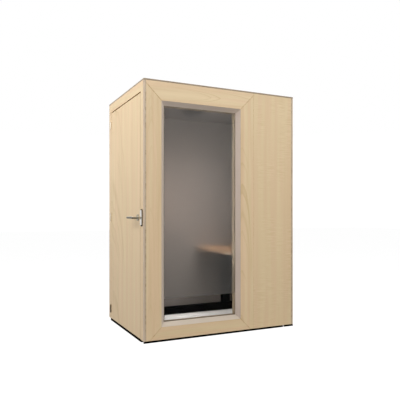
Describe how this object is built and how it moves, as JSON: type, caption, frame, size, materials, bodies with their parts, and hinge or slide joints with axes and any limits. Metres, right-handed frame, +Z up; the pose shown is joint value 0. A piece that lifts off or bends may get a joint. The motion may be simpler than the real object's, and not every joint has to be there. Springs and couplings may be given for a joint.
{
  "type": "acoustic office pod",
  "caption": "Free-standing acoustic office pod for one person: veneered box with a hinged side door, tall bevelled window, fixed desk and fan-driven ventilation.",
  "frame": {"origin": "middle of the base plate's underside, on the floor", "axes": "+Z up, +X from the door side to the right side, +Y from the glazed front to the back"},
  "size_m": [1.57, 1.08, 2.2],
  "materials": {
    "veneer": "satin lacquered pale maple veneer",
    "core_wood": "plain board core with veneered edge",
    "reveal_wood": "satin pale wood",
    "desk_wood": "satin lacquered wood top",
    "black_board": "matt black laminate",
    "pale_floor": "matt pale floor sheet",
    "champagne_trim": "satin champagne anodised",
    "felt": "pressed acoustic felt",
    "tinted_glass": "grey tinted laminated glass",
    "frosted_film": "frosted translucent film",
    "black_plastic": "fine textured black plastic",
    "black_steel": "black powder coat",
    "rubber": "soft matt rubber",
    "satin_steel": "satin brushed steel"
  },
  "bodies": {
    "shell": {"base_plate": "black_board", "floor_mat": "pale_floor", "post_front_left": "champagne_trim", "post_front_right": "champagne_trim", "post_rear_left": "champagne_trim", "post_rear_right": "champagne_trim", "top_trim": "champagne_trim", "front_stile_left": "veneer", "front_stile_right": "veneer", "front_rail_top": "veneer", "front_rail_bottom": "veneer", "front_side_panel": "veneer", "bevel_left": "champagne_trim", "bevel_right": "champagne_trim", "bevel_top": "champagne_trim", "bevel_bottom": "champagne_trim", "window_glass": "tinted_glass", "privacy_film": "frosted_film", "window_reveal": "reveal_wood", "front_lining": "felt", "right_panel": "veneer", "right_lining": "felt", "rear_panel": "veneer", "rear_lining": "felt", "roof_panel": "black_board", "ceiling_lining": "felt", "cable_trunk": "black_board", "skirting_right": "black_board", "jamb_front": "veneer", "jamb_rear": "veneer", "door_header": "veneer", "door_seal": "rubber", "keep_plate": "satin_steel", "hinge_low_frame_leaf": "satin_steel", "hinge_low_pin": "satin_steel", "hinge_mid_frame_leaf": "satin_steel", "hinge_mid_pin": "satin_steel", "hinge_high_frame_leaf": "satin_steel", "hinge_high_pin": "satin_steel", "fan_housing": "black_plastic", "ceiling_diffuser": "black_plastic", "roof_vent_cover": "black_plastic", "desk_top": "desk_wood", "desk_bracket": "black_steel", "desk_column": "black_plastic"},
    "door": {"door_outer_skin": "veneer", "door_core": "core_wood", "door_inner_skin": "felt", "drop_seal": "rubber", "lock_case": "satin_steel", "rose_outer": "satin_steel", "rose_inner": "satin_steel", "hinge_low_door_leaf": "satin_steel", "hinge_mid_door_leaf": "satin_steel", "hinge_high_door_leaf": "satin_steel"},
    "lever": {"lever_outer": "satin_steel", "lever_inner": "satin_steel", "spindle": "satin_steel"},
    "bolt": {"latch_bolt": "satin_steel"},
    "fan": {"fan_rotor": "black_plastic"}
  },
  "joints": [
    {"name": "door_swing", "type": "hinge", "parent": "shell", "child": "door", "pos_m": [-0.7608, 0.4665, 1], "axis": [0, 0, -1], "range_deg": [0, 110]},
    {"name": "lever_turn", "type": "hinge", "parent": "door", "child": "lever", "pos_m": [-0.725, -0.397, 1.043], "axis": [-1, 0, 0], "range_deg": [0, 45], "stiffness_Nm_per_rad": 2, "springref_deg": -34.38},
    {"name": "bolt_slide", "type": "slide", "parent": "door", "child": "bolt", "axis": [0, 1, 0], "range_m": [0, 0.01]},
    {"name": "fan_spin", "type": "hinge", "parent": "shell", "child": "fan", "pos_m": [-0.04, 0.045, 2.14], "axis": [0, 0, 1], "continuous": true}
  ],
  "couplings": [
    {"joint": "bolt_slide", "follows": "lever_turn", "m_per_rad": 0.01273}
  ]
}
